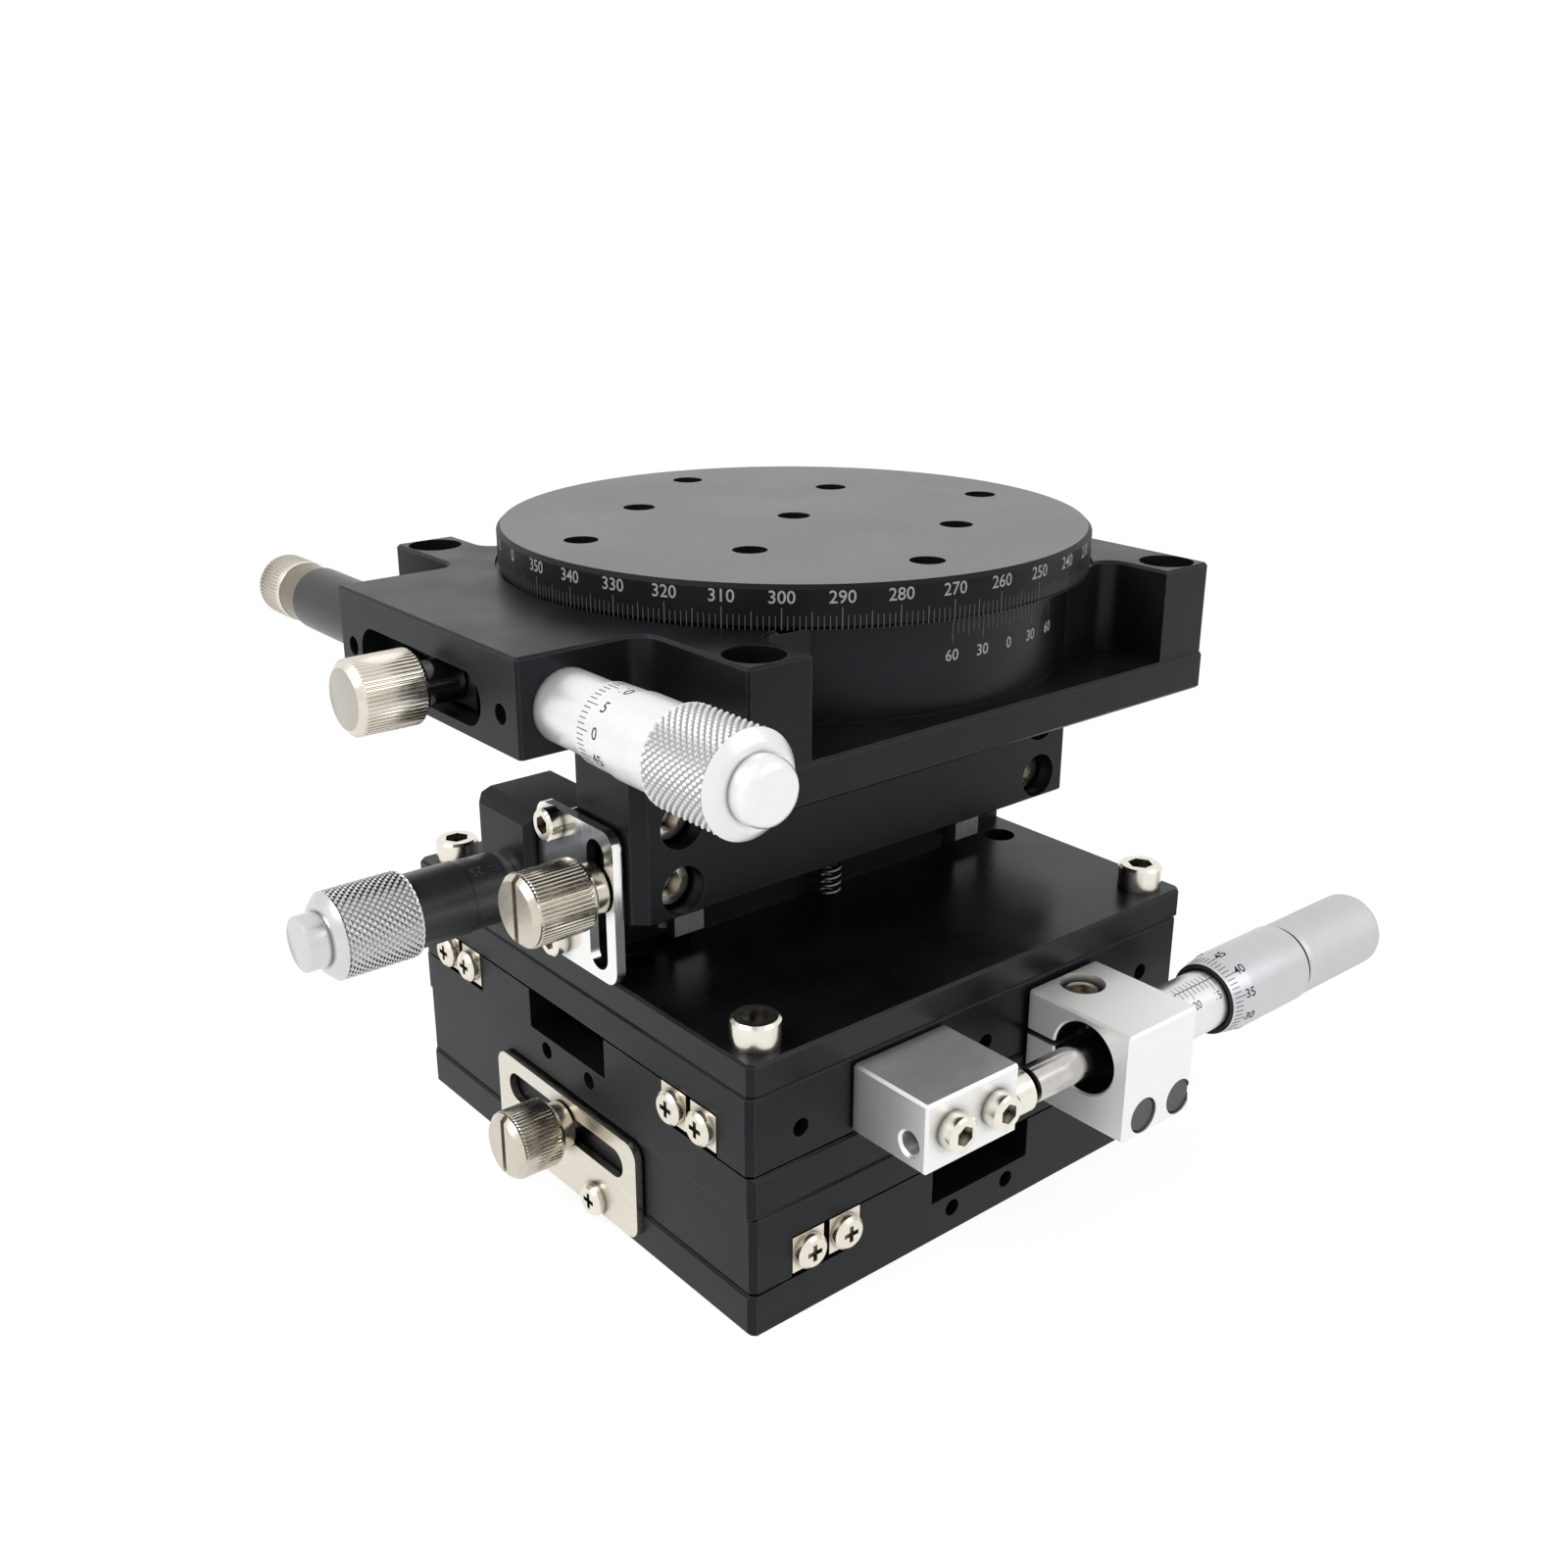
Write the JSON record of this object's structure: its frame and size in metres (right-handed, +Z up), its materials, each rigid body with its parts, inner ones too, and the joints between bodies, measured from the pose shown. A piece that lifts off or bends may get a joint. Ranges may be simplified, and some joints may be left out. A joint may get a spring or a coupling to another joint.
{
  "type": "five-axis micrometer stage",
  "caption": "Compact positioning stage: two crossed micrometer slides, a wedge-driven lift and a graduated rotary table with coarse and fine turning.",
  "frame": {"origin": "centre of the bottom face of the lowest base slab", "axes": "+Z up; the lower slide moves along Y, the upper slide along X, whose micrometer points to +X on the -Y side"},
  "size_m": [0.1631, 0.1466, 0.1023],
  "materials": {
    "black_anodised": "satin",
    "disc_top": "matte",
    "bare_aluminium": "brushed",
    "plate_steel": "brushed",
    "screw_steel": "bright",
    "rail_steel": "ground",
    "knob_nickel": "knurled",
    "sleeve_satin": "satin",
    "thimble_satin": "satin",
    "spindle_steel": "polished",
    "lift_thimble": "satin",
    "drive_steel": "ground",
    "spring_steel": "drawn"
  },
  "bodies": {
    "base": {"y_base": "black_anodised", "y_fixed_rails": "rail_steel", "y_lock_plate": "plate_steel", "y_base_screws": "screw_steel", "y_bracket": "bare_aluminium", "y_sleeve": "sleeve_satin"},
    "y_cages": {"y_roller_cages": "rail_steel"},
    "y_slide": {"y_table": "black_anodised", "y_moving_rails": "rail_steel", "y_stop_block": "bare_aluminium", "y_stop_hardware": "screw_steel", "x_base": "black_anodised", "x_fixed_rails": "rail_steel", "x_lock_plate": "plate_steel", "x_base_screws": "screw_steel", "x_bracket": "bare_aluminium", "x_sleeve": "sleeve_satin"},
    "y_screw": {"y_spindle": "spindle_steel", "y_thimble": "thimble_satin"},
    "y_lock": {"y_lock_knob": "knob_nickel"},
    "x_cages": {"x_roller_cages": "rail_steel"},
    "x_slide": {"x_table": "black_anodised", "x_moving_rails": "rail_steel", "x_stop_block": "bare_aluminium", "x_stop_hardware": "screw_steel", "z_base_plate": "black_anodised", "z_base_screws": "screw_steel", "z_column": "black_anodised", "z_fixed_rails": "rail_steel", "z_micrometer_block": "black_anodised", "z_sleeve": "sleeve_satin", "z_lock_plate": "plate_steel", "z_lock_screws": "screw_steel", "z_wedge_guide": "drive_steel"},
    "x_screw": {"x_spindle": "spindle_steel", "x_thimble": "thimble_satin"},
    "x_lock": {"x_lock_knob": "knob_nickel"},
    "z_lift": {"z_carriage": "black_anodised", "z_carriage_screws": "screw_steel", "z_moving_rails": "rail_steel", "z_top_plate": "black_anodised", "z_follower": "drive_steel", "z_roller_pin": "drive_steel", "z_return_spring": "spring_steel", "rotary_housing": "black_anodised", "housing_screws": "screw_steel", "rotary_bearing": "rail_steel", "rotary_sleeve": "sleeve_satin", "spring_plunger": "black_anodised"},
    "z_wedge": {"z_wedge": "drive_steel"},
    "z_screw": {"z_spindle": "spindle_steel", "z_thimble": "lift_thimble"},
    "z_lock": {"z_lock_knob": "knob_nickel"},
    "z_roller": {"z_roller": "drive_steel"},
    "fine_ring": {"clamp_ring": "black_anodised"},
    "rotary_lock": {"rotary_lock_knob": "knob_nickel"},
    "disc": {"rotary_disc": "disc_top"},
    "fine_spindle": {"rotary_spindle": "spindle_steel"},
    "fine_screw": {"rotary_thimble": "thimble_satin"},
    "plunger": {"plunger_pin": "spindle_steel"}
  },
  "joints": [
    {"name": "y_travel", "type": "slide", "parent": "base", "child": "y_slide", "axis": [0, 1, 0], "range_m": [-0.0125, 0.0125]},
    {"name": "y_cage_roll", "type": "slide", "parent": "base", "child": "y_cages", "axis": [0, 1, 0], "range_m": [-0.0063, 0.0063]},
    {"name": "y_screw_turn", "type": "hinge", "parent": "y_slide", "child": "y_screw", "pos_m": [0.0562, 0.06, 0.0107], "axis": [0, 1, 0], "continuous": true},
    {"name": "y_lock_turn", "type": "hinge", "parent": "y_slide", "child": "y_lock", "pos_m": [-0.05, 0, 0.0132], "axis": [1, 0, 0], "range_deg": [0, 120]},
    {"name": "x_travel", "type": "slide", "parent": "y_slide", "child": "x_slide", "axis": [1, 0, 0], "range_m": [-0.0125, 0.0125]},
    {"name": "x_cage_roll", "type": "slide", "parent": "y_slide", "child": "x_cages", "axis": [1, 0, 0], "range_m": [-0.0063, 0.0063]},
    {"name": "x_screw_turn", "type": "hinge", "parent": "x_slide", "child": "x_screw", "pos_m": [0.06, -0.0562, 0.0296], "axis": [1, 0, 0], "continuous": true},
    {"name": "x_lock_turn", "type": "hinge", "parent": "x_slide", "child": "x_lock", "pos_m": [0, 0.05, 0.0321], "axis": [0, 1, 0], "range_deg": [0, 120]},
    {"name": "z_travel", "type": "slide", "parent": "x_slide", "child": "z_lift", "axis": [0, 0, 1], "range_m": [-0.009, 0.001], "deforming": ["z_return_spring"]},
    {"name": "z_wedge_slide", "type": "slide", "parent": "x_slide", "child": "z_wedge", "axis": [1, 0, 0], "range_m": [-0.009, 0.001]},
    {"name": "z_screw_turn", "type": "hinge", "parent": "z_wedge", "child": "z_screw", "pos_m": [-0.06, 0.01, 0.051], "axis": [1, 0, 0], "continuous": true},
    {"name": "z_roller_turn", "type": "hinge", "parent": "z_lift", "child": "z_roller", "pos_m": [0, 0.01, 0.0586], "axis": [0, 1, 0], "continuous": true},
    {"name": "z_lock_turn", "type": "hinge", "parent": "z_lift", "child": "z_lock", "pos_m": [-0.05, -0.0126, 0.0577], "axis": [1, 0, 0], "range_deg": [0, 120]},
    {"name": "fine_turn", "type": "hinge", "parent": "z_lift", "child": "fine_ring", "pos_m": [0, 0, 0.089], "axis": [0, 0, 1], "range_deg": [-5, 5]},
    {"name": "disc_turn", "type": "hinge", "parent": "fine_ring", "child": "disc", "pos_m": [0, 0, 0.098], "axis": [0, 0, 1], "continuous": true},
    {"name": "rotary_lock_turn", "type": "hinge", "parent": "fine_ring", "child": "rotary_lock", "pos_m": [-0.06, -0.0015, 0.0885], "axis": [1, 0, 0], "range_deg": [0, 120]},
    {"name": "fine_spindle_slide", "type": "slide", "parent": "z_lift", "child": "fine_spindle", "axis": [0, 1, 0], "range_m": [-0.005, 0.005]},
    {"name": "fine_screw_turn", "type": "hinge", "parent": "fine_spindle", "child": "fine_screw", "pos_m": [-0.0566, -0.045, 0.0892], "axis": [0, 1, 0], "continuous": true},
    {"name": "plunger_slide", "type": "slide", "parent": "z_lift", "child": "plunger", "axis": [0, 1, 0], "range_m": [-0.005, 0.005]}
  ],
  "couplings": [
    {"joint": "y_cage_roll", "follows": "y_travel", "ratio": 0.5},
    {"joint": "y_screw_turn", "follows": "y_travel", "rad_per_m": 12566},
    {"joint": "x_cage_roll", "follows": "x_travel", "ratio": 0.5},
    {"joint": "x_screw_turn", "follows": "x_travel", "rad_per_m": 12566},
    {"joint": "z_wedge_slide", "follows": "z_travel", "ratio": 1},
    {"joint": "z_screw_turn", "follows": "z_travel", "rad_per_m": 12566},
    {"joint": "z_roller_turn", "follows": "z_travel", "rad_per_m": -353.55},
    {"joint": "fine_spindle_slide", "follows": "fine_turn", "m_per_rad": -0.0566},
    {"joint": "plunger_slide", "follows": "fine_turn", "m_per_rad": -0.0566},
    {"joint": "fine_screw_turn", "follows": "fine_turn", "ratio": 711.26}
  ]
}
